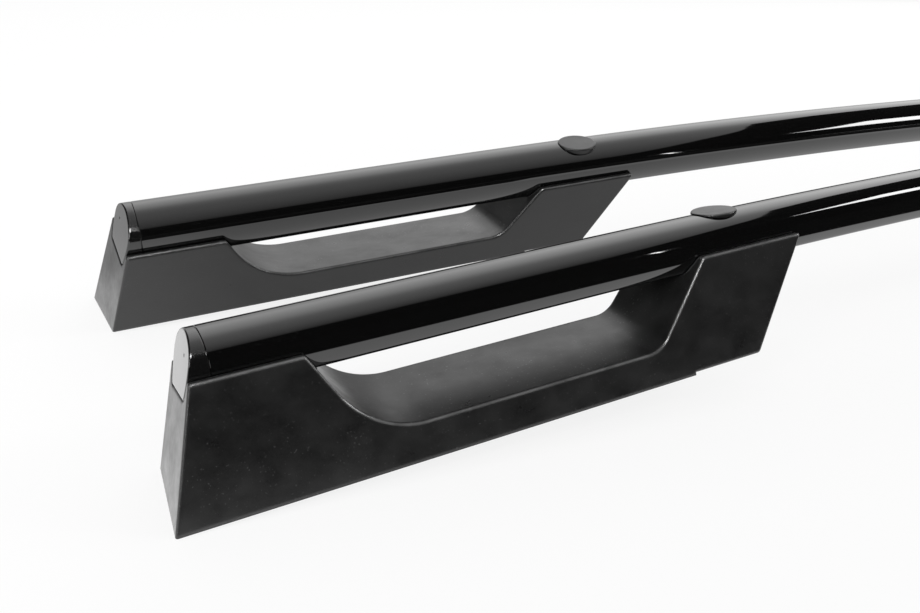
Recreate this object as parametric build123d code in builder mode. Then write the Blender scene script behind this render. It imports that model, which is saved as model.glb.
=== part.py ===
from build123d import *
from math import asin, atan, atan2, cos, degrees, hypot, radians, sin, tan
import os

# Roof side rail pair of a van, in millimetres. Two mirror-image rails stand on
# their slanted bases and lean towards each other. +X runs from the front ends
# to the rear ends, the left rail is on the -Y side and +Z is up. The origin is
# in the middle of the pair, on the surface that the feet stand on.
#
# The pieces of a front end are modelled in the frame of the front foot: +X
# along the tube, +Y towards the other rail and Z from the foot's base. A "run"
# is a distance along the tube from the reference line of the nose, where the
# raked nose plane meets the middle of the tube's floor.

# Layout of the pair
rail_length = 1900.0
front_spacing = 176.0
toe_angle = 1.5

# Tube: a bowed extrusion with a rounded crown and a flat floor
tube_width = 38.0
tube_height = 28.5
widest_height = 15.5
floor_width = 30.0
shoulder_radius = 10.0
floor_corner_radius = 3.0
tube_wall = 2.0
lean_angle = 13.75
bow_radius = 8900.0
bow_start = 238.0
seam_run = 13.0
seam_chamfer = 0.3

# Foot: outline seen from the side
rail_lift = 46.3
nose_rake = 15.2
nose_skew = 5.5
front_post_run = 54.5
foot_base_length = 321.0
rear_post_setback = 32.5
rear_rake = 34.5
window_floor = 18.0
window_front_slope = 58.0
window_rear_slope = 49.5
window_front_radius = 50.0
window_rear_radius = 17.0
front_post_rounding = 2.0
rear_post_rounding = 4.0
base_corner_rounding = 3.0
foot_edge_rounding = 1.4
nose_lip_rounding = 1.0
base_step_length = 48.0
base_step_height = 0.7

# Foot: outline seen along the tube, and its walls
rim_height = 9.6
rim_half_width = 22.5
base_outer = 41.6
base_inner = 13.8
foot_wall = 3.0
cradle_gap = 0.4
cradle_wall = 3.2
rib_thickness = 2.0
rib_first_run = 62.0
rib_spacing = 38.0
rib_count = 5
pad_thickness = 2.0
pad_gap = 0.3

# End plug
spigot_length = 32.0
spigot_gap = 0.2
spigot_wall = 2.0
spigot_lead = 0.5
plug_edge_rounding = 0.8
gate_mark_diameter = 1.6
gate_mark_depth = 0.3
gate_mark_across = -7.0
gate_mark_height = 18.5

# Cover button and the access hole under it
button_setback = 5.0
button_length = 28.6
button_width = 23.0
button_rise = 0.8
button_tilt = 4.0
button_edge_rounding = 1.0
button_wall = 2.0
button_gap = 0.2
access_diameter = 20.0
skirt_wall = 1.6
skirt_length = 7.0
skirt_slot = 2.5

# Clamp bolt, its washer and its threaded insert in the rear post
bolt_diameter = 8.0
bolt_length = 28.0
bolt_head_diameter = 13.0
bolt_head_height = 8.0
bolt_socket = 6.0
bolt_clearance = 0.5
washer_diameter = 17.0
washer_thickness = 1.6
insert_diameter = 14.0
insert_depth = 6.0
insert_length = 16.0
insert_fit = 0.1
clamp_boss_diameter = 21.0
clamp_boss_depth = 25.0

# Nose screw, from below into the end plug
nose_screw_run = 34.0
nose_screw_diameter = 4.0
nose_screw_length = 14.0
nose_head_diameter = 8.0
nose_head_height = 2.8
nose_cross_size = 4.6
nose_cross_width = 1.15
screw_clearance = 0.3
screw_boss_diameter = 9.0
screw_boss_cover = 1.0

# Roof inserts in the base
nose_insert_run = 10.0
post_insert_setback = 53.0
roof_insert_diameter = 9.0
roof_insert_lift = 0.5
roof_insert_length = 13.5
roof_insert_bore = 6.0
roof_boss_diameter = 15.0
roof_bolt_opening = 11.0

# Spare length for tools that cut right through, how far a drill starts before a face or
# ends past it, and the least height that tells the edges over the base from the base's own
spare = 60.0
overshoot = 1.0
edge_margin = 0.1

# Worked out from the sizes above
lean = radians(lean_angle)
toe = radians(toe_angle)
half_width = tube_width / 2
shoulder_reach = half_width - shoulder_radius
crown_rise = tube_height - widest_height
crown_radius = (shoulder_reach**2 + crown_rise**2 - shoulder_radius**2) / (
    2 * (crown_rise - shoulder_radius)
)
crown_centre = tube_height - crown_radius
crown_half_angle = degrees(atan2(shoulder_reach, widest_height - crown_centre))
bow_angle = asin(rail_length / 2 / hypot(bow_radius, bow_start)) - atan(bow_start / bow_radius)
rake_slope = tan(radians(nose_rake))
skew_slope = tan(radians(nose_skew))
base_middle = (base_inner - base_outer) / 2
mid_spacing = front_spacing - rail_length * tan(toe)
rear_post_run = foot_base_length - rear_post_setback
base_step_run = foot_base_length - base_step_length
button_run = foot_base_length - button_setback
roof_insert_runs = (nose_insert_run, foot_base_length - post_insert_setback)


def bow_turn(run):
    """Angle that the tube has turned down by at a run, in radians."""
    return max(run - bow_start, 0) / bow_radius


def floor_point(run):
    """Middle of the tube's floor at a run."""
    turn = bow_turn(run)
    along = min(run, bow_start) + bow_radius * sin(turn)
    return Vector(along, 0, rail_lift - bow_radius * (1 - cos(turn)))


def along_tube(run):
    """Direction of the tube at a run."""
    turn = bow_turn(run)
    return Vector(cos(turn), 0, -sin(turn))


def up_tube(run):
    """Direction from the tube's floor to its crown at a run."""
    turn = bow_turn(run)
    return Vector(cos(lean) * sin(turn), sin(lean), cos(lean) * cos(turn))


def section_plane(run):
    """Plane across the tube, with its X across the floor and its Y to the crown."""
    across = up_tube(run).cross(along_tube(run))
    return Plane(origin=floor_point(run), x_dir=across, z_dir=along_tube(run))


def post_plane(run, height=0.0):
    """Plane parallel to the tube's floor, at a height above its outside."""
    origin = floor_point(run) + up_tube(run) * height
    return Plane(origin=origin, x_dir=along_tube(run), z_dir=up_tube(run))


def up_axis(run):
    """Axis from the floor to the crown at a run, to sort faces by."""
    return Axis(floor_point(run), up_tube(run))


def section_point(across, height):
    """Y and Z of a point of the tube's section over the foot."""
    y = across * cos(lean) + height * sin(lean)
    z = rail_lift - across * sin(lean) + height * cos(lean)
    return y, z


outer_rim = section_point(-rim_half_width, rim_height)
inner_rim = section_point(rim_half_width, rim_height)
outer_lean = (outer_rim[0] + base_outer) / outer_rim[1]
inner_lean = (inner_rim[0] - base_inner) / inner_rim[1]
nose_plane = Plane(origin=(0, 0, rail_lift), z_dir=(1, -skew_slope, -rake_slope))
nose_axis = Axis((0, 0, rail_lift), (1, -skew_slope, -rake_slope))
rear_plane = Plane(
    origin=(foot_base_length, 0, 0),
    z_dir=(-cos(radians(rear_rake)), 0, sin(radians(rear_rake))),
)
middle_plane = Plane(
    origin=floor_point(bow_start + bow_radius * bow_angle),
    z_dir=(cos(bow_angle), 0, -sin(bow_angle)),
)
button_top = Plane(
    origin=floor_point(button_run) + up_tube(button_run) * (tube_height + button_rise),
    x_dir=along_tube(button_run),
    z_dir=up_tube(button_run).rotate(Axis((0, 0, 0), along_tube(button_run)), button_tilt),
)
gate_y, gate_z = section_point(gate_mark_across, gate_mark_height)
gate_x = rake_slope * (gate_z - rail_lift) + skew_slope * gate_y
gate_mark_plane = Plane(origin=(gate_x, gate_y, gate_z), z_dir=nose_plane.z_dir)

# The front foot pitches up with the bow, so the rail stands on its two noses,
# and the toe turns the rail about its middle. The ends of a rail mirror each other,
# so the right rail is the left one turned end for end.
nose_reach = rake_slope * rail_lift + skew_slope * base_outer
foot_place = Plane(
    origin=(
        rail_lift * sin(bow_angle) - rail_length / 2,
        0,
        nose_reach * sin(bow_angle),
    ),
    x_dir=(cos(bow_angle), 0, sin(bow_angle)),
    z_dir=(-sin(bow_angle), 0, cos(bow_angle)),
)
left_middle = Location((-base_outer * sin(toe), -mid_spacing / 2, 0), (0, 0, toe_angle))
right_middle = Location((-base_outer * sin(toe), mid_spacing / 2, 0), (0, 0, 180 - toe_angle))
left_place = left_middle * foot_place.location
right_place = right_middle * foot_place.location


def tube_outline(grow=0.0):
    """Outline of the tube on its section plane, grown or shrunk all round."""
    with BuildSketch() as outline:
        with BuildLine():
            CenterArc((shoulder_reach, widest_height), shoulder_radius, 0, 90 - crown_half_angle)
            CenterArc((0, crown_centre), crown_radius, 90 - crown_half_angle, 2 * crown_half_angle)
            CenterArc(
                (-shoulder_reach, widest_height),
                shoulder_radius,
                90 + crown_half_angle,
                90 - crown_half_angle,
            )
            TangentArc((-half_width, widest_height), (-floor_width / 2, 0), tangent=(0, -1))
            Line((-floor_width / 2, 0), (floor_width / 2, 0))
            TangentArc((half_width, widest_height), (floor_width / 2, 0), tangent=(0, -1))
        make_face()
        fillet(outline.vertices().group_by(Axis.Y)[0], floor_corner_radius)
        if grow:
            offset(amount=grow)
    return outline.sketch


def tube_space(grow):
    """Room that the tube takes over a foot, grown all round."""
    with BuildPart() as room:
        with BuildLine(Plane.XZ) as way:
            Line((-spare, rail_lift), (bow_start, rail_lift))
            CenterArc(
                (bow_start, rail_lift - bow_radius),
                bow_radius,
                90,
                -degrees((foot_base_length + 2 * spare - bow_start) / bow_radius),
            )
        with BuildSketch(section_plane(-spare)):
            add(tube_outline(grow))
        sweep(path=way.line)
    return room.part


def foot_shape(inset):
    """Solid between the faces of a foot, each face moved in by the inset."""
    with BuildPart() as shape:
        with BuildSketch(Plane.YZ.offset(-spare)):
            with BuildLine():
                Polyline(
                    (-base_outer - outer_lean * spare, -spare),
                    outer_rim,
                    inner_rim,
                    (base_inner - inner_lean * spare, -spare),
                    close=True,
                )
            make_face()
            if inset:
                offset(amount=-inset, kind=Kind.INTERSECTION)
        extrude(amount=foot_base_length + 3 * spare)
        split(bisect_by=nose_plane.offset(inset), keep=Keep.TOP)
        split(bisect_by=rear_plane.offset(inset), keep=Keep.TOP)
        with BuildSketch(Plane.XZ):
            front_slope = tan(radians(window_front_slope))
            rear_slope = tan(radians(window_rear_slope))
            depth = outer_rim[1] - window_floor
            with BuildLine():
                FilletPolyline(
                    (front_post_run - spare / front_slope, outer_rim[1] + spare),
                    (front_post_run + depth / front_slope, window_floor),
                    (rear_post_run - depth / rear_slope, window_floor),
                    (rear_post_run + spare / rear_slope, outer_rim[1] + spare),
                    radius=(window_front_radius, window_rear_radius),
                )
                Line(
                    (front_post_run - spare / front_slope, outer_rim[1] + spare),
                    (rear_post_run + spare / rear_slope, outer_rim[1] + spare),
                )
            make_face()
            if inset:
                offset(amount=inset)
        extrude(amount=2 * spare, both=True, mode=Mode.SUBTRACT)
    return shape.part


# Holes in the tube over one foot: access hole in the crown, bolt and screw holes in the floor
with BuildPart() as tube_holes:
    with BuildSketch(post_plane(button_run, widest_height)):
        Circle(access_diameter / 2)
    extrude(amount=tube_height)
    with BuildSketch(post_plane(button_run, -overshoot)):
        Circle(bolt_diameter / 2 + bolt_clearance)
    extrude(amount=tube_wall + 2 * overshoot)
    with BuildSketch(post_plane(nose_screw_run, -overshoot)):
        Circle(nose_screw_diameter / 2 + screw_clearance)
    extrude(amount=tube_wall + 2 * overshoot)

# Rail tube: one hollow extrusion, straight over the feet and bowed between them
with BuildPart() as rail_tube:
    straight_run = bow_start - seam_run
    rear_turn = 2 * bow_angle
    bow_end = (bow_start + bow_radius * sin(rear_turn), rail_lift - bow_radius * (1 - cos(rear_turn)))
    tube_end = (
        bow_end[0] + straight_run * cos(rear_turn),
        bow_end[1] - straight_run * sin(rear_turn),
    )
    with BuildLine(Plane.XZ) as tube_way:
        Line((seam_run, rail_lift), (bow_start, rail_lift))
        CenterArc((bow_start, rail_lift - bow_radius), bow_radius, 90, -degrees(rear_turn))
        Line(bow_end, tube_end)
    with BuildSketch(section_plane(seam_run)):
        add(tube_outline())
        add(tube_outline(-tube_wall), mode=Mode.SUBTRACT)
    sweep(path=tube_way.line)
    for end_face in rail_tube.faces().sort_by(Axis.X)[0], rail_tube.faces().sort_by(Axis.X)[-1]:
        chamfer(end_face.outer_wire().edges(), seam_chamfer)
    add(tube_holes.part, mode=Mode.SUBTRACT)
    mirror(tube_holes.part, about=middle_plane, mode=Mode.SUBTRACT)

# Hollow of a foot. The bosses and ribs are what is left standing in it.
with BuildPart() as foot_hollow:
    add(foot_shape(foot_wall))
    add(tube_space(cradle_gap + cradle_wall), mode=Mode.SUBTRACT)
    with BuildSketch(post_plane(button_run, -clamp_boss_depth)):
        Circle(clamp_boss_diameter / 2)
    extrude(amount=clamp_boss_depth, mode=Mode.SUBTRACT)
    with BuildSketch(Plane.XY.offset(pad_thickness)):
        for run in roof_insert_runs:
            with Locations((run, base_middle)):
                Circle(roof_boss_diameter / 2)
        for rib in range(rib_count):
            with Locations((rib_first_run + rib * rib_spacing, base_middle)):
                Rectangle(rib_thickness, 2 * spare)
    extrude(amount=2 * spare, mode=Mode.SUBTRACT)


def rim_edges(edges):
    """Edges that cross the rims of a foot, from its nose to its rear end."""
    across = edges.filter_by(lambda edge: abs(edge.tangent_at(0.5).Y) > cos(2 * lean))
    return across.filter_by_position(Axis.Z, inner_rim[1], outer_rim[1]).sort_by(Axis.X)


def in_cradle(edge):
    """Whether an edge of the nose lies along the cradle."""
    middle = section_plane(0).to_local_coords(edge.center())
    return abs(middle.X) < half_width + cradle_gap and middle.Y > -cradle_gap - edge_margin


# Foot: one moulding with a raked nose, an open window, two posts and a cradle for the tube
with BuildPart() as foot:
    add(foot_shape(0))
    split(bisect_by=Plane.XY, keep=Keep.TOP)
    fillet(rim_edges(foot.edges())[1], front_post_rounding)
    fillet(rim_edges(foot.edges())[-2], rear_post_rounding)
    with BuildSketch(Plane.XZ):
        with Locations((base_step_run, 0)):
            Rectangle(base_step_length + spare, base_step_height, align=(Align.MIN, Align.MIN))
    extrude(amount=2 * spare, both=True, mode=Mode.SUBTRACT)
    corner = foot.edges().filter_by(Axis.Y).group_by(Axis.Z)[1].sort_by(Axis.X)[-1]
    fillet(corner, base_corner_rounding)
    above_base = base_step_height + edge_margin
    fillet(foot.edges().filter_by_position(Axis.Z, above_base, rail_lift + spare), foot_edge_rounding)
    add(tube_space(cradle_gap), mode=Mode.SUBTRACT)
    fillet(foot.faces().sort_by(nose_axis)[0].edges().filter_by(in_cradle), nose_lip_rounding)
    add(foot_hollow.part, mode=Mode.SUBTRACT)
    with BuildSketch(post_plane(nose_screw_run, -cradle_gap - cradle_wall - overshoot)):
        Circle(nose_screw_diameter / 2 + screw_clearance)
    extrude(amount=cradle_wall + 2 * overshoot, mode=Mode.SUBTRACT)
    with BuildSketch(post_plane(button_run, -insert_depth - overshoot)):
        Circle(bolt_diameter / 2 + bolt_clearance)
    extrude(amount=insert_depth + overshoot, mode=Mode.SUBTRACT)
    with BuildSketch(post_plane(button_run, -clamp_boss_depth)):
        Circle(insert_diameter / 2 + insert_fit)
    extrude(amount=clamp_boss_depth - insert_depth, mode=Mode.SUBTRACT)
    with BuildSketch(Plane.XY.offset(pad_thickness)):
        for run in roof_insert_runs:
            with Locations((run, base_middle)):
                Circle(roof_insert_diameter / 2 + insert_fit)
    extrude(amount=roof_insert_lift + roof_insert_length + overshoot - pad_thickness, mode=Mode.SUBTRACT)

# End plug: flat raked face, collar flush with the tube and a hollow spigot inside it
with BuildPart() as end_plug:
    with BuildSketch(section_plane(seam_run)):
        add(tube_outline())
    extrude(amount=-spare)
    split(bisect_by=nose_plane, keep=Keep.TOP)
    fillet(end_plug.faces().sort_by(nose_axis)[0].edges(), plug_edge_rounding)
    chamfer(end_plug.faces().sort_by(Axis.X)[-1].edges(), seam_chamfer)
    with BuildSketch(section_plane(seam_run)):
        add(tube_outline(-tube_wall - spigot_gap))
    extrude(amount=spigot_length)
    chamfer(end_plug.faces().sort_by(Axis.X)[-1].edges(), spigot_lead)
    with BuildSketch(section_plane(seam_run)):
        add(tube_outline(-tube_wall - spigot_gap - spigot_wall))
    extrude(amount=spigot_length, mode=Mode.SUBTRACT)
    with BuildSketch(post_plane(nose_screw_run, tube_wall + spigot_gap)):
        Circle(screw_boss_diameter / 2)
    extrude(amount=nose_screw_length - cradle_wall - tube_wall + screw_boss_cover)
    with BuildSketch(post_plane(nose_screw_run)):
        Circle(nose_screw_diameter / 2 + insert_fit)
    extrude(amount=nose_screw_length - cradle_wall, mode=Mode.SUBTRACT)
    with BuildSketch(gate_mark_plane):
        Circle(gate_mark_diameter / 2)
    extrude(amount=gate_mark_depth, both=True, mode=Mode.SUBTRACT)

# Cover button: cap with a flat top that is tilted a little towards level and an underside that
# follows the crown, with a split skirt that snaps into the access hole
with BuildPart() as cover_button:
    with BuildSketch(post_plane(button_run, widest_height)):
        Ellipse(button_length / 2, button_width / 2)
    extrude(amount=tube_height)
    split(bisect_by=button_top, keep=Keep.BOTTOM)
    fillet(cover_button.faces().sort_by(up_axis(button_run))[-1].edges(), button_edge_rounding)
    with BuildSketch(section_plane(button_run - button_length)):
        add(tube_outline(button_gap))
    extrude(amount=2 * button_length, mode=Mode.SUBTRACT)
    with BuildSketch(post_plane(button_run, tube_height + button_gap - button_wall)):
        Circle(access_diameter / 2 - button_gap)
    extrude(amount=button_wall)
    with BuildSketch(post_plane(button_run, tube_height - skirt_length)):
        Circle(access_diameter / 2 - button_gap)
        Circle(access_diameter / 2 - button_gap - skirt_wall, mode=Mode.SUBTRACT)
        Rectangle(access_diameter, skirt_slot, mode=Mode.SUBTRACT)
        Rectangle(skirt_slot, access_diameter, mode=Mode.SUBTRACT)
    extrude(amount=skirt_length + button_gap)

# Clamp bolt: socket head on the washer, shank down through the floor into the insert
head_height = tube_wall + washer_thickness
with BuildPart() as clamp_bolt:
    with BuildSketch(post_plane(button_run, head_height)):
        Circle(bolt_head_diameter / 2)
    extrude(amount=bolt_head_height)
    top = clamp_bolt.faces().sort_by(up_axis(button_run))[-1]
    chamfer(top.edges(), bolt_clearance)
    with BuildSketch(post_plane(button_run, head_height + bolt_head_height / 2)):
        RegularPolygon(bolt_socket / 2, 6, major_radius=False)
    extrude(amount=bolt_head_height, mode=Mode.SUBTRACT)
    with BuildSketch(post_plane(button_run, head_height - bolt_length)):
        Circle(bolt_diameter / 2)
    extrude(amount=bolt_length)

with BuildPart() as clamp_washer:
    with BuildSketch(post_plane(button_run, tube_wall)):
        Circle(washer_diameter / 2)
        Circle(bolt_diameter / 2 + screw_clearance, mode=Mode.SUBTRACT)
    extrude(amount=washer_thickness)

# Threaded insert pulled up against the shoulder in the rear post
with BuildPart() as clamp_insert:
    with BuildSketch(post_plane(button_run, -insert_depth - insert_length)):
        Circle(insert_diameter / 2)
        Circle(bolt_diameter / 2 + insert_fit, mode=Mode.SUBTRACT)
    extrude(amount=insert_length)

# Nose screw: pan head under the cradle, with a cross recess
with BuildPart() as nose_screw:
    under_cradle = -cradle_gap - cradle_wall
    with BuildSketch(post_plane(nose_screw_run, under_cradle)):
        Circle(nose_screw_diameter / 2)
    extrude(amount=nose_screw_length)
    with BuildSketch(post_plane(nose_screw_run, under_cradle)):
        Circle(nose_head_diameter / 2)
    extrude(amount=-nose_head_height)
    bottom = nose_screw.faces().sort_by(up_axis(nose_screw_run))[0]
    fillet(bottom.edges(), nose_head_height / 2)
    with BuildSketch(post_plane(nose_screw_run, under_cradle - nose_head_height)):
        Rectangle(nose_cross_size, nose_cross_width)
        Rectangle(nose_cross_width, nose_cross_size)
    extrude(amount=nose_head_height / 2, mode=Mode.SUBTRACT)

# Base pad: rubber sheet that closes the underside of the foot, open at the roof inserts
with BuildPart() as base_pad:
    add(foot_shape(foot_wall + pad_gap))
    split(bisect_by=Plane.XY, keep=Keep.TOP)
    split(bisect_by=Plane.XY.offset(pad_thickness), keep=Keep.BOTTOM)
    with BuildSketch(Plane.XY):
        for run in roof_insert_runs:
            with Locations((run, base_middle)):
                Circle(roof_bolt_opening / 2)
    extrude(amount=pad_thickness, mode=Mode.SUBTRACT)


def roof_insert(run):
    """Threaded bush in the base, down through the pad, for a bolt that comes up through the roof."""
    with BuildPart() as insert:
        with BuildSketch(Plane.XY.offset(roof_insert_lift)):
            with Locations((run, base_middle)):
                Circle(roof_insert_diameter / 2)
                Circle(roof_insert_bore / 2, mode=Mode.SUBTRACT)
        extrude(amount=roof_insert_length)
    return insert.part


# Each piece once at every end of both rails
end_pieces = {
    "foot": foot.part,
    "end_plug": end_plug.part,
    "cover_button": cover_button.part,
    "clamp_bolt": clamp_bolt.part,
    "clamp_washer": clamp_washer.part,
    "clamp_insert": clamp_insert.part,
    "nose_screw": nose_screw.part,
    "base_pad": base_pad.part,
    "nose_roof_insert": roof_insert(roof_insert_runs[0]),
    "post_roof_insert": roof_insert(roof_insert_runs[1]),
}
os.makedirs("parts", exist_ok=True)


def write_piece(name, piece, place):
    """Stand a piece in its rail of the pair and write it."""
    with BuildPart() as standing:
        with Locations(place):
            add(piece)
    standing.part.label = name
    export_step(standing.part, f"parts/{name}.step")


write_piece("left_rail_tube", rail_tube.part, left_place)
write_piece("right_rail_tube", rail_tube.part, right_place)
for name, piece in end_pieces.items():
    with BuildPart() as turned_piece:
        mirror(piece, about=middle_plane)
    write_piece(f"left_front_{name}", piece, left_place)
    write_piece(f"left_rear_{name}", turned_piece.part, left_place)
    write_piece(f"right_front_{name}", turned_piece.part, right_place)
    write_piece(f"right_rear_{name}", piece, right_place)
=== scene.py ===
"""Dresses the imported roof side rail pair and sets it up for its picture.

The two rails stand on a pale table under soft panels, as in a product studio.
Everything is in metres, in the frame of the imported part: +X runs from the front
ends to the rear ends, the left rail is on the -Y side and +Z is up.
"""

import logging
import math
from dataclasses import dataclass, field
from enum import Enum

import bmesh
import bpy
from mathutils import Euler, Matrix, Vector

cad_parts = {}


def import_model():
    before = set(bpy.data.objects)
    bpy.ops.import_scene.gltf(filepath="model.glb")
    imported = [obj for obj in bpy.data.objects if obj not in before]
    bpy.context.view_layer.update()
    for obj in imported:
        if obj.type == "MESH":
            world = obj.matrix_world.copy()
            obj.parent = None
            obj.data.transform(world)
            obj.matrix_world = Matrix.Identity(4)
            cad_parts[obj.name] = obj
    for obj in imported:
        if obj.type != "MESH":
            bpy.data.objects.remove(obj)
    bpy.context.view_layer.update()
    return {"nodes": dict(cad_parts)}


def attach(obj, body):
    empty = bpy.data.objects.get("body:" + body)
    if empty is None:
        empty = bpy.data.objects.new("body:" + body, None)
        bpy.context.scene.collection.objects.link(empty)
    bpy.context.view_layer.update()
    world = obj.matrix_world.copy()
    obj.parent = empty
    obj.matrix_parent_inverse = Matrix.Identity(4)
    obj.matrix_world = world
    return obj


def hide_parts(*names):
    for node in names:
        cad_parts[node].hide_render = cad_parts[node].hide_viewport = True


LOG = logging.getLogger("roof_rails")
BODY = "root"
MILLIMETRE = 0.001
WELD = 0.001  # millimetres under which the points of an outline are merged
CAP_CORNERS = 40  # only the faces that close a tube's ends have more corners
SHARP = math.radians(30)  # edges that turn more than this stay sharp in the gloss
NODE_STEP = 220  # space from one node to the next in the editor


class Side(Enum):
    """The two rails of the pair."""

    LEFT = "left"
    RIGHT = "right"


class End(Enum):
    """The two ends of a rail."""

    FRONT = "front"
    REAR = "rear"


class Slot(Enum):
    """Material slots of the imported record."""

    TUBE = "tube_coat"
    FOOT = "foot_plastic"
    PLUG = "plug_plastic"
    BUTTON = "button_plastic"
    STEEL = "screw_steel"
    RUBBER = "pad_rubber"
    BRASS = "insert_brass"


class NodeSheet:
    """A node tree that is filled one node at a time."""

    def __init__(self, tree: bpy.types.NodeTree) -> None:
        """Starts from an empty tree.

        Args:
            tree: Tree of a material, a world or a node group.
        """
        self.tree = tree
        tree.nodes.clear()

    def node(self, kind: str, **settings: object) -> bpy.types.Node:
        """Adds a node.

        Args:
            kind: Type name of the node.
            settings: Properties of the node, such as its operation.

        Returns:
            The new node.
        """
        made = self.tree.nodes.new(kind)
        made.location = (NODE_STEP * len(self.tree.nodes), 0)
        for name, value in settings.items():
            setattr(made, name, value)
        return made

    def feed(self, source: bpy.types.NodeSocket, target: bpy.types.NodeSocket) -> None:
        """Links an output to an input."""
        self.tree.links.new(source, target)

    def maths(self, operation: str, first: object, second: object = None) -> bpy.types.NodeSocket:
        """Adds a Math node.

        Args:
            operation: Name of the operation.
            first: Socket or number of the first input.
            second: Socket or number of the second input, if there is one.

        Returns:
            The output socket.
        """
        made = self.node("ShaderNodeMath", operation=operation)
        for place, value in enumerate((first, second)):
            if isinstance(value, bpy.types.NodeSocket):
                self.feed(value, made.inputs[place])
            elif value is not None:
                made.inputs[place].default_value = value
        return made.outputs[0]

    def spread(
        self,
        value: bpy.types.NodeSocket,
        low: object,
        high: object,
        start: float = 0.0,
        stop: float = 1.0,
    ) -> bpy.types.NodeSocket:
        """Maps a value from one range onto another.

        Args:
            value: Socket to map.
            low: Result, or its socket, at the start of the range.
            high: Result, or its socket, at the end of the range.
            start: Start of the range that is read.
            stop: End of the range that is read.

        Returns:
            The output socket.
        """
        made = self.node("ShaderNodeMapRange")
        self.feed(value, made.inputs["Value"])
        made.inputs["From Min"].default_value = start
        made.inputs["From Max"].default_value = stop
        for name, result in (("To Min", low), ("To Max", high)):
            if isinstance(result, bpy.types.NodeSocket):
                self.feed(result, made.inputs[name])
            else:
                made.inputs[name].default_value = result
        return made.outputs["Result"]

    def noise(
        self,
        size: float,
        detail: float = 2.0,
        stretch: tuple[float, float, float] = (1.0, 1.0, 1.0),
    ) -> bpy.types.NodeSocket:
        """Adds noise on Object coordinates.

        Args:
            size: Width of one patch of the noise, in metres.
            detail: Octaves of the noise.
            stretch: How much longer the patches are along each axis.

        Returns:
            The noise value.
        """
        place = self.node("ShaderNodeTexCoord")
        turn = self.node("ShaderNodeMapping")
        turn.inputs["Scale"].default_value = [1.0 / (size * long) for long in stretch]
        self.feed(place.outputs["Object"], turn.inputs["Vector"])
        made = self.node("ShaderNodeTexNoise")
        made.inputs["Scale"].default_value = 1.0
        made.inputs["Detail"].default_value = detail
        self.feed(turn.outputs["Vector"], made.inputs["Vector"])
        return made.outputs["Fac"]


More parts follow.
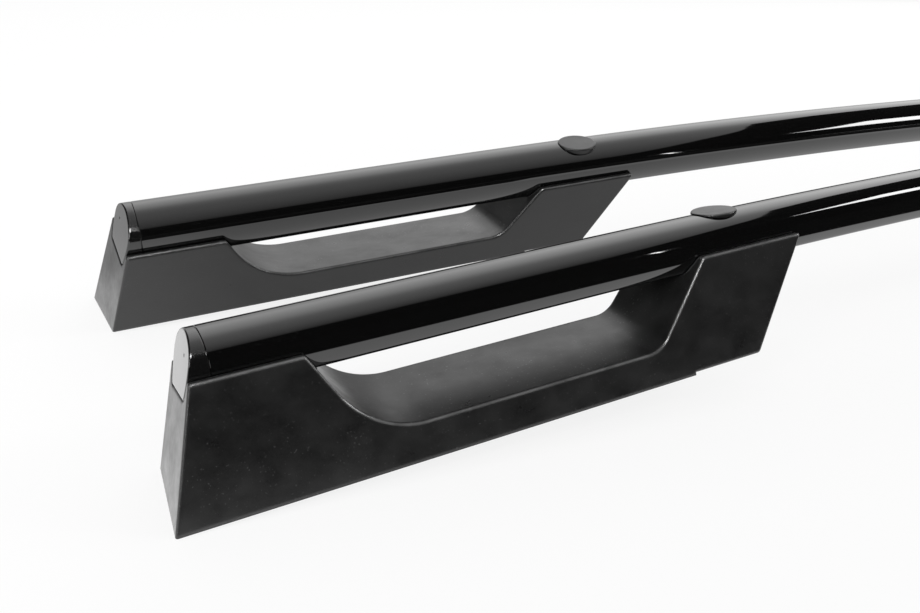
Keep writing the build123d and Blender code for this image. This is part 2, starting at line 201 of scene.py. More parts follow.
class Effects:
    """Node groups that several finishes share, each built once.

    Attributes:
        PEBBLE: Width of the pebbles of moulded grain, in metres, as all below.
        PORE: Width of the pores between them.
        SMEAR: Width of the smears that handling leaves.
        SMEAR_STRETCH: How much longer a smear is along each axis.
        RUB: Width of the finer rubs.
        RUB_STRETCH: How much longer a rub is along each axis.
        WORN: Width of the patches over which the pale edges, a painted highlight that is partly
            wear, vary.
        SPECK: Width of a speck of dust.
        PATCH: Width of the patches in which dust settles.
    """

    PEBBLE = 0.0012
    PORE = 0.0019
    SMEAR = 0.018
    SMEAR_STRETCH = (1.3, 1.0, 1.0)
    RUB = 0.0035
    RUB_STRETCH = (1.6, 1.0, 1.0)
    WORN = 0.012
    SPECK = 0.0011
    PATCH = 0.03

    def __init__(self) -> None:
        """Starts with no group built."""
        self.built: dict[str, bpy.types.NodeTree] = {}

    def group(
        self,
        name: str,
        inputs: dict[str, float],
        outputs: tuple[str, ...],
        directions: tuple[str, ...] = (),
    ) -> NodeSheet:
        """Makes an empty node group with its sockets.

        Args:
            name: Name of the group.
            inputs: Name and default of each input.
            outputs: Name of each output that is a value.
            directions: Name of each output that is a direction.

        Returns:
            The sheet of the group, with its input and output nodes added.
        """
        tree = bpy.data.node_groups.new(name, "ShaderNodeTree")
        for label, default in inputs.items():
            socket = tree.interface.new_socket(label, in_out="INPUT", socket_type="NodeSocketFloat")
            socket.default_value = default
        for label in outputs:
            tree.interface.new_socket(label, in_out="OUTPUT", socket_type="NodeSocketFloat")
        for label in directions:
            tree.interface.new_socket(label, in_out="OUTPUT", socket_type="NodeSocketVector")
        sheet = NodeSheet(tree)
        sheet.node("NodeGroupInput")
        sheet.node("NodeGroupOutput")
        self.built[name] = tree
        return sheet

    def moulded_grain(self) -> bpy.types.NodeTree:
        """Fine pebbled skin that a spark-eroded mould leaves.

        Returns:
            Group with the outputs Height and Speckle.
        """
        name = "moulded_grain"
        if name in self.built:
            return self.built[name]
        sheet = self.group(name, {"Grain": 1.0, "Pores": 1.0}, ("Height", "Speckle"))
        given, result = sheet.tree.nodes[0], sheet.tree.nodes[1]
        pebble = sheet.noise(self.PEBBLE, detail=4.0)
        pore = sheet.noise(self.PORE, detail=1.0)
        hollow = sheet.spread(pore, 0.0, 1.0, start=0.6, stop=0.75)
        coarse = sheet.maths("MULTIPLY", pebble, given.outputs["Grain"])
        deep = sheet.maths("MULTIPLY", hollow, given.outputs["Pores"])
        sheet.feed(sheet.maths("SUBTRACT", coarse, deep), result.inputs["Height"])
        speckle = sheet.spread(pebble, 0.0, 1.0, start=0.35, stop=0.7)
        sheet.feed(speckle, result.inputs["Speckle"])
        return sheet.tree

    def handling_marks(self) -> bpy.types.NodeTree:
        """Faint rubs and finger marks that change the gloss.

        Returns:
            Group with the outputs Roughness, around the given level, and Smear.
        """
        name = "handling_marks"
        if name in self.built:
            return self.built[name]
        sheet = self.group(name, {"Level": 0.4, "Amount": 0.1}, ("Roughness", "Smear"))
        given, result = sheet.tree.nodes[0], sheet.tree.nodes[1]
        smear = sheet.noise(self.SMEAR, detail=5.0, stretch=self.SMEAR_STRETCH)
        rub = sheet.noise(self.RUB, detail=3.0, stretch=self.RUB_STRETCH)
        both = sheet.maths(
            "ADD",
            sheet.spread(smear, -1.0, 1.0, start=0.3, stop=0.7),
            sheet.spread(rub, -0.4, 0.4, start=0.3, stop=0.7),
        )
        change = sheet.maths("MULTIPLY", both, given.outputs["Amount"])
        sheet.feed(sheet.maths("ADD", given.outputs["Level"], change), result.inputs["Roughness"])
        sheet.feed(sheet.spread(smear, 0.0, 1.0, start=0.35, stop=0.65), result.inputs["Smear"])
        return sheet.tree

    def sheen_and_worn_edges(self) -> bpy.types.NodeTree:
        """Pale, smoother edges: a painted highlight on edges that look up, partly wear.

        An edge takes it where its rounding turns away from the face and looks up, or where
        it looks outward and up, as the roundings of the feet's rims do; noise patches vary it.

        Returns:
            Group with the outputs Mask and Normal.
        """
        name = "sheen_and_worn_edges"
        if name in self.built:
            return self.built[name]
        sheet = self.group(name, {"Radius": 0.001, "Amount": 1.0}, ("Mask",), ("Normal",))
        given, result = sheet.tree.nodes[0], sheet.tree.nodes[1]
        rounding = sheet.node("ShaderNodeBevel", samples=8)
        sheet.feed(given.outputs["Radius"], rounding.inputs["Radius"])
        shape = sheet.node("ShaderNodeNewGeometry")
        likeness = sheet.node("ShaderNodeVectorMath", operation="DOT_PRODUCT")
        sheet.feed(rounding.outputs["Normal"], likeness.inputs[0])
        sheet.feed(shape.outputs["True Normal"], likeness.inputs[1])
        turned = sheet.spread(likeness.outputs["Value"], 1.0, 0.0, start=0.80, stop=0.97)
        facing = sheet.node("ShaderNodeSeparateXYZ")
        sheet.feed(rounding.outputs["Normal"], facing.inputs["Vector"])
        sideways = sheet.maths("ABSOLUTE", facing.outputs["Y"])
        height = facing.outputs["Z"]
        # Edges that face up take the painted highlight.
        upward = sheet.spread(height, 0.0, 1.0, start=0.1, stop=0.5)
        crest = sheet.maths(
            "MULTIPLY",
            sheet.spread(height, 0.0, 1.0, start=0.44, stop=0.56),
            sheet.spread(height, 1.0, 0.0, start=0.84, stop=0.95),
        )
        outward = sheet.spread(sideways, 0.0, 1.0, start=0.18, stop=0.36)
        rim = sheet.maths("MULTIPLY", crest, outward)
        either = sheet.maths("MAXIMUM", sheet.maths("MULTIPLY", turned, upward), rim)
        patch = sheet.noise(self.WORN, detail=3.0)
        # Patches that vary the painted edge highlight, as wear would.
        sheen_and_wear = sheet.spread(patch, 0.45, 1.0, start=0.35, stop=0.6)
        mask = sheet.maths("MULTIPLY", either, sheen_and_wear)
        sheet.feed(sheet.maths("MULTIPLY", mask, given.outputs["Amount"]), result.inputs["Mask"])
        sheet.feed(rounding.outputs["Normal"], result.inputs["Normal"])
        return sheet.tree

    def settled_dust(self) -> bpy.types.NodeTree:
        """Sparse pale specks and lint on faces that look up.

        Returns:
            Group with the output Mask.
        """
        name = "settled_dust"
        if name in self.built:
            return self.built[name]
        sheet = self.group(name, {"Amount": 1.0}, ("Mask",))
        given, result = sheet.tree.nodes[0], sheet.tree.nodes[1]
        specks = sheet.noise(self.SPECK, detail=0.0)
        patches = sheet.noise(self.PATCH)
        speck = sheet.spread(specks, 0.0, 1.0, start=0.74, stop=0.8)
        patch = sheet.spread(patches, 0.2, 1.0, start=0.4, stop=0.65)
        facing = sheet.node("ShaderNodeSeparateXYZ")
        shape = sheet.node("ShaderNodeNewGeometry")
        sheet.feed(shape.outputs["Normal"], facing.inputs["Vector"])
        up = sheet.spread(facing.outputs["Z"], 0.15, 1.0, start=0.0, stop=0.8)
        amount = sheet.maths("MULTIPLY", sheet.maths("MULTIPLY", speck, patch), up)
        sheet.feed(sheet.maths("MULTIPLY", amount, given.outputs["Amount"]), result.inputs["Mask"])
        return sheet.tree


EFFECTS = Effects()


@dataclass(frozen=True)
class Finish:
    """A moulded, coated or metal surface.

    Attributes:
        name: Name of the material.
        colour: Colour of the surface.
        roughness: Middle roughness.
        dust_colour: Colour of the specks that lie on it.
        marks: How much handling changes the roughness.
        ior: Index of refraction.
        metallic: 1 for bare metal.
        grain: Height of the moulded grain.
        pores: Depth of the pores in the grain.
        depth: Height of the bump in metres.
        speckle: How much lighter the tops of the grain are.
        smears: How much lighter the rubbed patches are.
        edges: Radius in metres over which edges catch the light, 0 for none.
        edge_sheen_and_wear: How much of the pale edge colour the edges take; it is painted
            highlight, partly wear.
        edge_sheen_and_wear_colour: Pale colour painted on the edges, a painted highlight that is
            partly wear.
        polish: How much smoother the edges under that mask are.
        dust: Amount of dust.
    """

    name: str
    colour: tuple[float, float, float]
    roughness: float
    dust_colour: tuple[float, float, float] = (0.35, 0.35, 0.35)
    marks: float = 0.03
    ior: float = 1.5
    metallic: float = 0.0
    grain: float = 0.0
    pores: float = 0.0
    depth: float = 0.00002
    speckle: float = 0.0
    smears: float = 0.0
    edges: float = 0.0
    edge_sheen_and_wear: float = 0.0
    edge_sheen_and_wear_colour: tuple[float, float, float] = (0.22, 0.22, 0.22)
    polish: float = 0.0
    dust: float = 0.0

    def make(self) -> bpy.types.Material:
        """Builds the material.

        Returns:
            The material, ready to go on a piece.
        """
        made = bpy.data.materials.new(self.name)
        made.use_nodes = True
        sheet = NodeSheet(made.node_tree)
        shader = sheet.node("ShaderNodeBsdfPrincipled")
        result = sheet.node("ShaderNodeOutputMaterial")
        sheet.feed(shader.outputs["BSDF"], result.inputs["Surface"])
        shader.inputs["IOR"].default_value = self.ior
        shader.inputs["Metallic"].default_value = self.metallic
        smear = self.handling(sheet, shader)
        self.skin(sheet, shader, smear)
        return made

    def handling(self, sheet: NodeSheet, shader: bpy.types.Node) -> bpy.types.NodeSocket:
        """Adds the handling marks to the roughness.

        Args:
            sheet: Sheet of the material.
            shader: Its Principled shader.

        Returns:
            Mask of the rubbed patches.
        """
        marks = sheet.node("ShaderNodeGroup", node_tree=EFFECTS.handling_marks())
        marks.inputs["Level"].default_value = self.roughness
        marks.inputs["Amount"].default_value = self.marks
        sheet.feed(marks.outputs["Roughness"], shader.inputs["Roughness"])
        return marks.outputs["Smear"]

    def lighter(self, share: float) -> tuple[float, float, float, float]:
        """Colour of the surface, made lighter by a share of itself."""
        return (*(value * (1.0 + share) for value in self.colour), 1.0)

    def skin(self, sheet: NodeSheet, shader: bpy.types.Node, smear: bpy.types.NodeSocket) -> None:
        """Adds the colour, grain and dust of the surface.

        Args:
            sheet: Sheet of the material.
            shader: Its Principled shader.
            smear: Mask of the rubbed patches.
        """
        grain = sheet.node("ShaderNodeGroup", node_tree=EFFECTS.moulded_grain())
        grain.inputs["Grain"].default_value = self.grain
        grain.inputs["Pores"].default_value = self.pores
        bump = sheet.node("ShaderNodeBump")
        bump.inputs["Distance"].default_value = self.depth
        sheet.feed(grain.outputs["Height"], bump.inputs["Height"])
        sheet.feed(bump.outputs["Normal"], shader.inputs["Normal"])
        tint = sheet.node("ShaderNodeMix", data_type="RGBA")
        tint.inputs["A"].default_value = self.lighter(0.0)
        tint.inputs["B"].default_value = self.lighter(self.speckle)
        sheet.feed(grain.outputs["Speckle"], tint.inputs["Factor"])
        rubbed = sheet.node("ShaderNodeMix", data_type="RGBA")
        rubbed.inputs["B"].default_value = self.lighter(self.smears)
        sheet.feed(tint.outputs["Result"], rubbed.inputs["A"])
        sheet.feed(smear, rubbed.inputs["Factor"])
        dust = sheet.node("ShaderNodeGroup", node_tree=EFFECTS.settled_dust())
        dust.inputs["Amount"].default_value = self.dust
        dusty = sheet.node("ShaderNodeMix", data_type="RGBA")
        dusty.inputs["B"].default_value = (*self.dust_colour, 1.0)
        sheet.feed(rubbed.outputs["Result"], dusty.inputs["A"])
        sheet.feed(dust.outputs["Mask"], dusty.inputs["Factor"])
        # Edges take a pale colour: painted highlight on up-facing edges, partly wear.
        if self.edges:
            self.rub(sheet, shader, bump, dusty)
        else:
            sheet.feed(dusty.outputs["Result"], shader.inputs["Base Color"])

    def rub(
        self,
        sheet: NodeSheet,
        shader: bpy.types.Node,
        bump: bpy.types.Node,
        skin: bpy.types.Node,
    ) -> None:
        """Rounds the edges in the gloss, paints them paler and makes them smoother; the paler
        colour is painted highlight, partly wear.

        Args:
            sheet: Sheet of the material.
            shader: Its Principled shader.
            bump: Bump node of the grain.
            skin: Mix node with the colour of the skin.
        """
        edges = sheet.node("ShaderNodeGroup", node_tree=EFFECTS.sheen_and_worn_edges())
        edges.inputs["Radius"].default_value = self.edges
        edges.inputs["Amount"].default_value = self.edge_sheen_and_wear
        sheet.feed(edges.outputs["Normal"], bump.inputs["Normal"])
        # Pale edge colour: painted highlight, partly wear.
        sheen_and_wear = sheet.node("ShaderNodeMix", data_type="RGBA")
        sheen_and_wear.inputs["B"].default_value = (*self.edge_sheen_and_wear_colour, 1.0)
        sheet.feed(skin.outputs["Result"], sheen_and_wear.inputs["A"])
        sheet.feed(edges.outputs["Mask"], sheen_and_wear.inputs["Factor"])
        sheet.feed(sheen_and_wear.outputs["Result"], shader.inputs["Base Color"])
        handled = shader.inputs["Roughness"].links[0].from_socket
        smoother = sheet.maths("MULTIPLY", edges.outputs["Mask"], self.polish)
        sheet.feed(sheet.maths("SUBTRACT", handled, smoother), shader.inputs["Roughness"])


FINISHES = {
    Slot.TUBE: Finish(
        "tube_gloss_black",
        (0.0015, 0.0015, 0.0015),
        0.04,
        marks=0.01,
        ior=1.62,
        dust=0.03,
    ),
    Slot.FOOT: Finish(
        "foot_satin_black",
        (0.006, 0.006, 0.006),
        0.34,
        marks=0.06,
        ior=1.49,
        grain=0.5,
        pores=0.2,
        speckle=0.5,
        smears=0.9,
        edges=0.0024,
        # Pale edges of the feet: painted highlight, partly wear.
        edge_sheen_and_wear=0.45,
        edge_sheen_and_wear_colour=(0.27, 0.27, 0.27),
        polish=0.4,
        dust=0.2,
    ),
    Slot.PLUG: Finish(
        "plug_gloss_black",
        (0.004, 0.004, 0.004),
        0.12,
        marks=0.02,
        ior=1.56,
        grain=0.1,
        edges=0.0012,
    ),
    Slot.BUTTON: Finish(
        "button_satin_black",
        (0.01, 0.01, 0.01),
        0.34,
        marks=0.05,
        ior=1.42,
        grain=0.5,
        speckle=0.4,
        edges=0.0008,
        # Pale edges of the buttons: painted highlight, partly wear.
        edge_sheen_and_wear=0.12,
        polish=0.1,
    ),
    Slot.STEEL: Finish("zinc_plated_steel", (0.55, 0.55, 0.56), 0.3, marks=0.08, metallic=1.0),
    Slot.RUBBER: Finish(
        "base_rubber",
        (0.02, 0.02, 0.02),
        0.7,
        grain=0.8,
        pores=0.6,
        speckle=0.5,
        dust=0.2,
    ),
    Slot.BRASS: Finish("turned_brass", (0.7, 0.5, 0.2), 0.25, marks=0.06, metallic=1.0),
}

NODE_SLOTS = {
    "foot": Slot.FOOT,
    "end_plug": Slot.PLUG,
    "cover_button": Slot.BUTTON,
    "clamp_bolt": Slot.STEEL,
    "clamp_washer": Slot.STEEL,
    "clamp_insert": Slot.BRASS,
    "nose_screw": Slot.STEEL,
    "base_pad": Slot.RUBBER,
    "nose_roof_insert": Slot.BRASS,
    "post_roof_insert": Slot.BRASS,
}


@dataclass(frozen=True)
class Bend:
    """One arc of the tube's section, in millimetres and degrees.

    Attributes:
        centre: Across and height of its centre.
        sweep: Angle that it turns through.
        steps: Number of its segments.
    """

    centre: tuple[float, float]
    sweep: float
    steps: int


@dataclass(frozen=True)
class RailTube:
    """Gloss-coated tube of one rail, bowed between its straight ends.

    Sizes are in millimetres. The frame of the tube's path is that of the front
    foot: X along the rail, Y towards the other rail and Z up from the base.

    Attributes:
        width: Width of the section at its widest.
        height: Height of the section.
        widest: Height of the widest line over the floor.
        floor: Width of the floor between the flanks' ends.
        shoulder: Radius between crown and flank.
        corner: Radius between flank and floor.
        wall: Wall that shows at the open ends.
        lean: Lean of the section towards the other rail, in degrees.
        seam: Run where the tube meets the plug's collar.
        chamfer: Chamfer of its ends.
        straight: Run where the bow starts.
        bow: Radius of the bow.
        lift: Height of the floor over the base.
        length: Length of the rail between the lines of its noses.
        toe: Toe of the rail, in degrees.
        outer: Distance from the rail's middle line to the base's outer edge.
        front_gauge: Distance between the rails' middle lines at their front ends.
        rake: Rake of the nose, in degrees.
        skew: Skew of the nose, in degrees.
        rings: Rings along the bow.
    """

    width: float = 38.0
    height: float = 28.5
    widest: float = 15.5
    floor: float = 30.0
    shoulder: float = 10.0
    corner: float = 3.0
    wall: float = 2.0
    lean: float = 13.75
    seam: float = 13.0
    chamfer: float = 0.3
    straight: float = 238.0
    bow: float = 8900.0
    lift: float = 46.3
    length: float = 1900.0
    toe: float = 1.5
    outer: float = 41.6
    front_gauge: float = 176.0
    rake: float = 15.2
    skew: float = 5.5
    rings: int = 72

    @property
    def gauge(self) -> float:
        """Distance between the rails' middle lines, half way along."""
        return self.front_gauge - self.length * math.tan(math.radians(self.toe))

    @property
    def nose_reach(self) -> float:
        """Reach of the nose tip ahead of its line."""
        rake, skew = math.tan(math.radians(self.rake)), math.tan(math.radians(self.skew))
        return self.lift * rake + self.outer * skew

    @property
    def turn(self) -> float:
        """Half of the angle that the bow turns through, in radians."""
        reach = math.asin(self.length / 2 / math.hypot(self.bow, self.straight))
        return reach - math.atan(self.straight / self.bow)

    @property
    def bow_length(self) -> float:
        """Length of the bow along the tube's floor."""
        return 2 * self.turn * self.bow

    def bends(self) -> tuple[tuple[Bend, ...], tuple[Bend, ...]]:
        """Arcs of the section, counter-clockwise from the widest point on the right.

        Returns:
            The arcs up to the floor, and those from the floor back to the start.
        """
        half = self.width / 2
        reach, rise = half - self.shoulder, self.height - self.widest
        crown = (reach**2 + rise**2 - self.shoulder**2) / (2 * (rise - self.shoulder))
        crown_centre = self.height - crown
        crown_half = math.degrees(math.atan2(reach, self.widest - crown_centre))
        inset = half - self.floor / 2
        flank = (inset**2 + self.widest**2) / (2 * inset)
        drop = self.widest - self.corner
        corner_reach = math.sqrt((flank - self.corner) ** 2 - drop**2) - flank + half
        flank_sweep = math.degrees(math.asin(drop / (flank - self.corner)))
        over = (
            Bend((reach, self.widest), 90 - crown_half, 20),
            Bend((0, crown_centre), 2 * crown_half, 36),
            Bend((-reach, self.widest), 90 - crown_half, 20),
            Bend((flank - half, self.widest), flank_sweep, 12),
            Bend((-corner_reach, self.corner), 90 - flank_sweep, 10),
        )
        back = (
            Bend((corner_reach, self.corner), 90 - flank_sweep, 10),
            Bend((half - flank, self.widest), flank_sweep, 12),
        )
        return over, back

    def across(self, run: float) -> Matrix:
        """Place of the section at a run, in the frame of the front foot.

        Args:
            run: Distance along the tube from the line of the nose.

        Returns:
            Matrix that takes X along, Y across and Z from the floor to the crown.
        """
        turn = min(max(run - self.straight, 0.0), self.bow_length) / self.bow
        rest = max(run - self.straight - self.bow_length, 0.0)
        x = min(run, self.straight) + self.bow * math.sin(turn) + rest * math.cos(turn)
        z = self.lift - self.bow * (1 - math.cos(turn)) - rest * math.sin(turn)
        leant = Matrix.Rotation(-math.radians(self.lean), 4, "X")
        return Matrix.Translation((x, 0, z)) @ Matrix.Rotation(turn, 4, "Y") @ leant

    def stand(self) -> Matrix:
        """Place of the front foot's frame in the left rail, in millimetres."""
        toe = math.radians(self.toe)
        tilt = math.sin(self.turn)
        middle = Matrix.Translation((-self.outer * math.sin(toe), -self.gauge / 2, 0))
        foot = Matrix.Translation((self.lift * tilt - self.length / 2, 0, self.nose_reach * tilt))
        return middle @ Matrix.Rotation(toe, 4, "Z") @ foot @ Matrix.Rotation(-self.turn, 4, "Y")

    def follow(
        self, shape: bmesh.types.BMesh, point: bmesh.types.BMVert, bends: tuple[Bend, ...]
    ) -> bmesh.types.BMVert:
        """Draws a part of the section by spinning a point round each arc.

        Args:
            shape: Mesh to draw in.
            point: Point to start from.
            bends: Arcs to follow, one after another.

        Returns:
            The last point.
        """
        for bend in bends:
            spun = bmesh.ops.spin(
                shape,
                geom=[point],
                cent=(0, *bend.centre),
                axis=(1, 0, 0),
                angle=math.radians(bend.sweep),
                steps=bend.steps,
                use_duplicate=False,
            )
            point = next(part for part in spun["geom_last"] if isinstance(part, bmesh.types.BMVert))
        return point

    def outline(self, shape: bmesh.types.BMesh) -> list[bmesh.types.BMEdge]:
        """Draws the section, with its floor between the two rows of arcs.

        Args:
            shape: Mesh to draw in.

        Returns:
            The edges of the closed outline.
        """
        over, back = self.bends()
        start = shape.verts.new((0, self.width / 2, self.widest))
        floor_start = self.follow(shape, start, over)
        floor_end = bmesh.ops.extrude_vert_indiv(shape, verts=[floor_start])["verts"][0]
        floor_end.co.y = back[0].centre[0]
        self.follow(shape, floor_end, back)
        bmesh.ops.remove_doubles(shape, verts=shape.verts[:], dist=WELD)
        return shape.edges[:]

    def runs(self) -> list[float]:
        """Runs of the rings behind the first one."""
        step = self.bow_length / self.rings
        bowed = [self.straight + step * ring for ring in range(self.rings + 1)]
        return [*bowed, 2 * self.straight + self.bow_length - self.seam]

    def sweep(
        self, shape: bmesh.types.BMesh, loop: list[bmesh.types.BMEdge]
    ) -> list[bmesh.types.BMEdge]:
        """Extrudes the outline from ring to ring along the rail.

        Args:
            shape: Mesh of the tube.
            loop: Edges of the outline at the first ring.

        Returns:
            The edges of the last ring.
        """
        place = self.across(self.seam)
        bmesh.ops.transform(shape, matrix=place, verts=shape.verts[:])
        for run in self.runs():
            grown = bmesh.ops.extrude_edge_only(shape, edges=loop)["geom"]
            rim = [part for part in grown if isinstance(part, bmesh.types.BMVert)]
            edges = [part for part in grown if isinstance(part, bmesh.types.BMEdge)]
            loop = [edge for edge in edges if edge.verts[0] in rim and edge.verts[1] in rim]
            target = self.across(run)
            bmesh.ops.transform(shape, matrix=target @ place.inverted(), verts=rim)
            place = target
        return loop

    def open_ends(self, shape: bmesh.types.BMesh, rims: list[bmesh.types.BMEdge]) -> None:
        """Chamfers the ends and sinks a blind bore into each, inside the wall.

        Args:
            shape: Mesh of the tube, closed at both ends.
            rims: Edges round the two ends.
        """
        bmesh.ops.bevel(
            shape,
            geom=rims,
            offset=self.chamfer,
            affect="EDGES",
            segments=1,
            profile=0.5,
            material=-1,
        )
        caps = [face for face in shape.faces if len(face.verts) > CAP_CORNERS]
        wall = self.wall - self.chamfer
        bmesh.ops.inset_region(shape, faces=caps, thickness=wall, use_even_offset=True)
        bores = [face for face in shape.faces if len(face.verts) > CAP_CORNERS]
        for bore in bores:
            inward = -bore.normal * self.straight / 2
            grown = bmesh.ops.extrude_face_region(shape, geom=[bore])["geom"]
            deep = [part for part in grown if isinstance(part, bmesh.types.BMVert)]
            bmesh.ops.translate(shape, verts=deep, vec=inward)
        bmesh.ops.delete(shape, geom=bores, context="FACES_ONLY")

    def build(self, side: Side) -> bpy.types.Object:
        """Builds the tube of one rail.

        Args:
            side: Side that the rail is on.

        Returns:
            The tube's object, in metres.
        """
        shape = bmesh.new()
        first = self.outline(shape)
        last = self.sweep(shape, first)
        for rim in (first, last):
            bmesh.ops.edgeloop_fill(shape, edges=rim)
        bmesh.ops.recalc_face_normals(shape, faces=shape.faces[:])
        self.open_ends(shape, first + last)
        whole = Matrix.Scale(MILLIMETRE, 4) @ self.stand()
        bmesh.ops.transform(shape, matrix=whole, verts=shape.verts[:])
        if side is Side.RIGHT:
            mirror = Matrix.Scale(-1, 4, (0, 1, 0))
            bmesh.ops.transform(shape, matrix=mirror, verts=shape.verts[:])
        bmesh.ops.recalc_face_normals(shape, faces=shape.faces[:])
        for face in shape.faces:
            face.smooth = True
        mesh = bpy.data.meshes.new(f"{side.value}_gloss_tube")
        shape.to_mesh(mesh)
        shape.free()
        mesh.set_sharp_from_angle(angle=SHARP)
        tube = bpy.data.objects.new(mesh.name, mesh)
        bpy.context.scene.collection.objects.link(tube)
        return tube


class Rail:
    """One rail of the pair, dressed with its finishes."""

    def __init__(self, side: Side, nodes: dict[str, bpy.types.Object]) -> None:
        """Takes the rail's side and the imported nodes.

        Args:
            side: Side that the rail is on.
            nodes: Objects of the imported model.
        """
        self.side = side
        self.nodes = nodes

    def dress(self, materials: dict[Slot, bpy.types.Material]) -> None:
        """Gives each node of the rail its finish.

        Args:
            materials: Material of each slot.
        """
        tube = RailTube().build(self.side)
        tube.data.materials.append(materials[Slot.TUBE])
        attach(tube, BODY)
        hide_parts(f"{self.side.value}_rail_tube")
        LOG.info("built the %s tube", self.side.value)
        for end in End:
            for piece, slot in NODE_SLOTS.items():
                self.paint(f"{self.side.value}_{end.value}_{piece}", materials[slot])
        LOG.info("dressed the %s rail", self.side.value)

    def paint(self, name: str, material: bpy.types.Material) -> None:
        """Puts a material on every slot of a node."""
        node = self.nodes[name]
        for place in range(len(node.material_slots)):
            node.material_slots[place].material = material


@dataclass(frozen=True)
class GlowRow:
    """One row of points across a lit sheet.

    Attributes:
        place: Y and Z of the row.
        reach: X of its left and right end.
        strength: How strongly the sheet glows there.
    """

    place: tuple[float, float]
    reach: tuple[float, float]
    strength: float


@dataclass
class GlowSheet:
    """A lit sheet of the studio, bent over its rows and seen in the gloss but not by the camera.

    Attributes:
        name: Name of the sheet.
        rows: Rows from one edge of the sheet to the other.
        on_table: Whether it lights the table too, or shows in the gloss alone.
    """

    name: str
    rows: tuple[GlowRow, ...]
    on_table: bool = True

    def build(self) -> bpy.types.Object:
        """Builds the sheet.

        Returns:
            The sheet's object.
        """
        shape = bmesh.new()
        glow = shape.verts.layers.float.new("glow")
        ends = []
        for row in self.rows:
            pair = [shape.verts.new((x, *row.place)) for x in row.reach]
            for point in pair:
                point[glow] = row.strength
            ends.append(pair)
        for (left, right), (next_left, next_right) in zip(ends, ends[1:]):
            shape.faces.new((left, right, next_right, next_left))
        mesh = bpy.data.meshes.new(self.name)
        shape.to_mesh(mesh)
        shape.free()
        sheet = bpy.data.objects.new(self.name, mesh)
        bpy.context.scene.collection.objects.link(sheet)
        sheet.visible_camera = False
        sheet.visible_diffuse = self.on_table
        sheet.data.materials.append(self.light())
        return sheet

    def light(self) -> bpy.types.Material:
        """Light that follows the strength of the rows.

        Returns:
            The sheet's material.
        """
        made = bpy.data.materials.new(self.name)
        made.use_nodes = True
        sheet = NodeSheet(made.node_tree)
        strength = sheet.node("ShaderNodeAttribute", attribute_name="glow")
        light = sheet.node("ShaderNodeEmission")
        sheet.feed(strength.outputs["Fac"], light.inputs["Strength"])
        result = sheet.node("ShaderNodeOutputMaterial")
        sheet.feed(light.outputs["Emission"], result.inputs["Surface"])
        return made


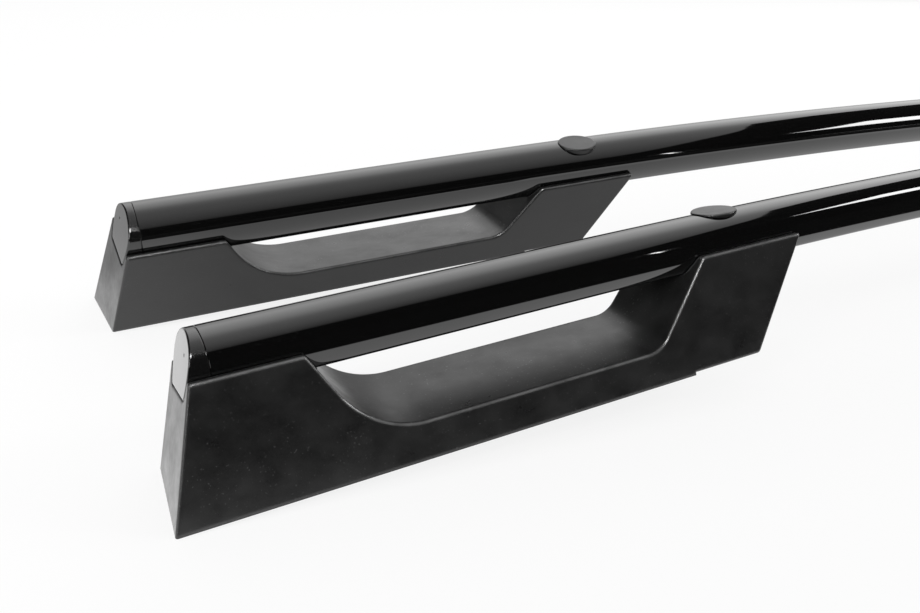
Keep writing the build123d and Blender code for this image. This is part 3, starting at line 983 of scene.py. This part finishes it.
@dataclass
class Studio:
    """Table, lit sheets and dim room around the pair.

    Attributes:
        table_edge: Y of the table's front edge, where the gloss stops mirroring white.
        table_white: Diffuse white of the table.
        camera_white: Share of plain white that the camera sees on the table.
        gloss_white: White that the gloss mirrors from the table between the rails.
        gloss_front: The same in front of the near rail.
        gloss_back: White that the gloss mirrors from the table behind the far rail.
        gloss_end: How much more it mirrors by the rails' front ends.
        fill: Soft light of the room on diffuse surfaces.
        dark: Light of the dim room that the gloss mirrors.
        half_width: Half of the table's width.
        blur: Half of the width over which the table's front edge fades.
        near_rail: Y over which the gloss fades from the front's white to the middle's.
        far_rail: Y over which it fades to the back's.
        front_ends: X over which the white by the front ends fades.
        end_fading: Y over which that white drops to half.
        sheets: Lit sheets round the table.
    """

    table_edge: float = -0.225
    table_white: float = 0.9
    camera_white: float = 0.85
    gloss_white: float = 1.0
    gloss_front: float = 1.4
    gloss_back: float = 0.45
    gloss_end: float = 0.5
    fill: float = 0.8
    dark: float = 0.03
    half_width: float = 30.0
    blur: float = 0.004
    near_rail: tuple[float, float] = (-0.13, -0.05)
    far_rail: tuple[float, float] = (0.13, 0.2)
    front_ends: tuple[float, float] = (-0.95, -0.87)
    end_fading: tuple[float, float] = (0.1, 0.3)
    sheets: list[GlowSheet] = field(default_factory=list)

    def build(self) -> None:
        """Builds the table, the sheets and the room."""
        self.table()
        for sheet in self.sheets:
            sheet.build()
            LOG.info("built the sheet %s", sheet.name)
        self.room()

    def table(self) -> None:
        """Builds the pale floor."""
        shape = bmesh.new()
        bmesh.ops.create_grid(shape, x_segments=1, y_segments=1, size=self.half_width)
        mesh = bpy.data.meshes.new("table")
        shape.to_mesh(mesh)
        shape.free()
        floor = bpy.data.objects.new("table", mesh)
        bpy.context.scene.collection.objects.link(floor)
        floor.data.materials.append(self.paper())
        LOG.info("built the table")

    def paper(self) -> bpy.types.Material:
        """White paper of the table, dark in the gloss beyond its front edge.

        Returns:
            The table's material.
        """
        made = bpy.data.materials.new("table_paper")
        made.use_nodes = True
        sheet = NodeSheet(made.node_tree)
        place = sheet.node("ShaderNodeTexCoord")
        parts = sheet.node("ShaderNodeSeparateXYZ")
        sheet.feed(place.outputs["Object"], parts.inputs["Vector"])
        along, across = parts.outputs["X"], parts.outputs["Y"]
        between = sheet.spread(across, self.gloss_front, self.gloss_white, *self.near_rail)
        behind = sheet.spread(across, 1.0, self.gloss_back, *self.far_rail)
        plain = sheet.maths("MULTIPLY", between, behind)
        by_end = sheet.spread(along, self.gloss_end, 0.0, *self.front_ends)
        fading = sheet.spread(across, 1.0, 0.5, *self.end_fading)
        lit = sheet.maths("ADD", plain, sheet.maths("MULTIPLY", by_end, fading))
        edge = (self.table_edge - self.blur, self.table_edge + self.blur)
        mirrored = sheet.spread(across, self.dark, lit, *edge)
        path = sheet.node("ShaderNodeLightPath")
        paper = sheet.node("ShaderNodeBsdfDiffuse")
        tone = self.table_white
        paper.inputs["Color"].default_value = (tone, tone, tone, 1.0)
        white = sheet.node("ShaderNodeEmission")
        strength = sheet.spread(path.outputs["Is Glossy Ray"], 1.0, mirrored)
        sheet.feed(strength, white.inputs["Strength"])
        seen = sheet.maths("MULTIPLY", path.outputs["Is Camera Ray"], self.camera_white)
        both = sheet.node("ShaderNodeMixShader")
        sheet.feed(sheet.maths("ADD", seen, path.outputs["Is Glossy Ray"]), both.inputs["Fac"])
        sheet.feed(paper.outputs["BSDF"], both.inputs[1])
        sheet.feed(white.outputs["Emission"], both.inputs[2])
        result = sheet.node("ShaderNodeOutputMaterial")
        sheet.feed(both.outputs["Shader"], result.inputs["Surface"])
        return made

    def room(self) -> None:
        """White world to the camera, soft light to the table and dim in the gloss."""
        world = bpy.data.worlds.new("room")
        bpy.context.scene.world = world
        world.use_nodes = True
        sheet = NodeSheet(world.node_tree)
        path = sheet.node("ShaderNodeLightPath")
        fill = sheet.spread(path.outputs["Is Glossy Ray"], self.fill, self.dark)
        strength = sheet.spread(path.outputs["Is Camera Ray"], fill, 1.0)
        light = sheet.node("ShaderNodeBackground")
        sheet.feed(strength, light.inputs["Strength"])
        result = sheet.node("ShaderNodeOutputWorld")
        sheet.feed(light.outputs["Background"], result.inputs["Surface"])


@dataclass(frozen=True)
class PictureCamera:
    """Camera at the photograph's viewing angle.

    Attributes:
        eye: Place of the camera.
        turn: Its rotation about X, Y and Z, in degrees.
        lens: Focal length in millimetres.
        sensor: Width of the sensor in millimetres.
        sight: Nearest and farthest distance that it sees.
    """

    eye: tuple[float, float, float] = (-1.01406, -0.46095, 0.27014)
    turn: tuple[float, float, float] = (64.7378, -4.2648, -26.7130)
    lens: float = 36.34
    sensor: float = 36.0
    sight: tuple[float, float] = (0.02, 100.0)

    def build(self) -> None:
        """Adds the camera to the scene."""
        data = bpy.data.cameras.new("picture_camera")
        data.lens = self.lens
        data.sensor_width = self.sensor
        data.clip_start, data.clip_end = self.sight
        camera = bpy.data.objects.new("picture_camera", data)
        camera.location = self.eye
        camera.rotation_euler = Euler([math.radians(angle) for angle in self.turn], "XYZ")
        bpy.context.scene.collection.objects.link(camera)
        bpy.context.scene.camera = camera
        LOG.info("placed the camera")


SHEETS = [
    GlowSheet(
        "back_wall_and_ceiling",
        (
            GlowRow((1.60, 0.00), (-1.15, 3.0), 0.50),
            GlowRow((1.60, 0.40), (-1.15, 3.0), 1.00),
            GlowRow((1.60, 0.75), (-1.15, 3.0), 1.65),
            GlowRow((1.60, 1.10), (-1.15, 3.0), 1.85),
            GlowRow((1.60, 1.50), (-1.15, 3.0), 1.90),
            GlowRow((1.55, 2.00), (-1.2, 2.6), 1.80),
            GlowRow((1.40, 2.30), (-1.3, 2.0), 1.50),
            GlowRow((1.10, 2.50), (-1.5, 1.65), 1.10),
            GlowRow((0.60, 2.55), (-1.6, 1.50), 0.90),
            GlowRow((0.00, 2.55), (-1.6, 1.38), 0.82),
            GlowRow((-0.60, 2.50), (-4.0, 1.2), 0.65),
            GlowRow((-1.10, 2.45), (-4.0, 1.1), 0.48),
            GlowRow((-1.50, 2.40), (-4.0, 1.0), 0.28),
            GlowRow((-1.70, 2.40), (-4.0, 1.0), 0.10),
        ),
    ),
    GlowSheet(
        "side_light",
        (
            GlowRow((-1.38, 1.98), (1.55, 3.60), 12.0),
            GlowRow((-0.60, 1.90), (1.55, 3.60), 12.0),
        ),
    ),
    GlowSheet(
        "end_light",
        (
            GlowRow((-0.60, 1.90), (3.00, 4.00), 12.0),
            GlowRow((0.40, 1.80), (3.00, 4.00), 12.0),
        ),
    ),
    GlowSheet(
        "left_light",
        (
            GlowRow((-0.50, 0.15), (-2.40, -1.70), 14.0),
            GlowRow((-0.60, 0.70), (-2.40, -1.70), 14.0),
            GlowRow((-0.85, 1.30), (-2.40, -1.70), 14.0),
        ),
    ),
    GlowSheet(
        "front_light",
        (
            GlowRow((-1.70, 2.10), (-1.80, -1.08), 42.0),
            GlowRow((-1.00, 2.30), (-1.80, -1.08), 42.0),
        ),
        on_table=False,
    ),
    GlowSheet(
        "strip_light",
        (
            GlowRow((-2.575, 0.80), (1.305, 1.335), 26.0),
            GlowRow((-2.575, 1.20), (1.305, 1.335), 26.0),
        ),
        on_table=False,
    ),
]


def main() -> None:
    """Loads the part, dresses it and sets up the studio."""
    logging.basicConfig(level=logging.INFO, format="%(name)s: %(message)s")
    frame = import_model()
    bpy.context.scene.view_settings.view_transform = "Standard"
    materials = {slot: finish.make() for slot, finish in FINISHES.items()}
    for side in Side:
        Rail(side, frame["nodes"]).dress(materials)
    Studio(sheets=SHEETS).build()
    PictureCamera().build()


if __name__ == "__main__":
    main()
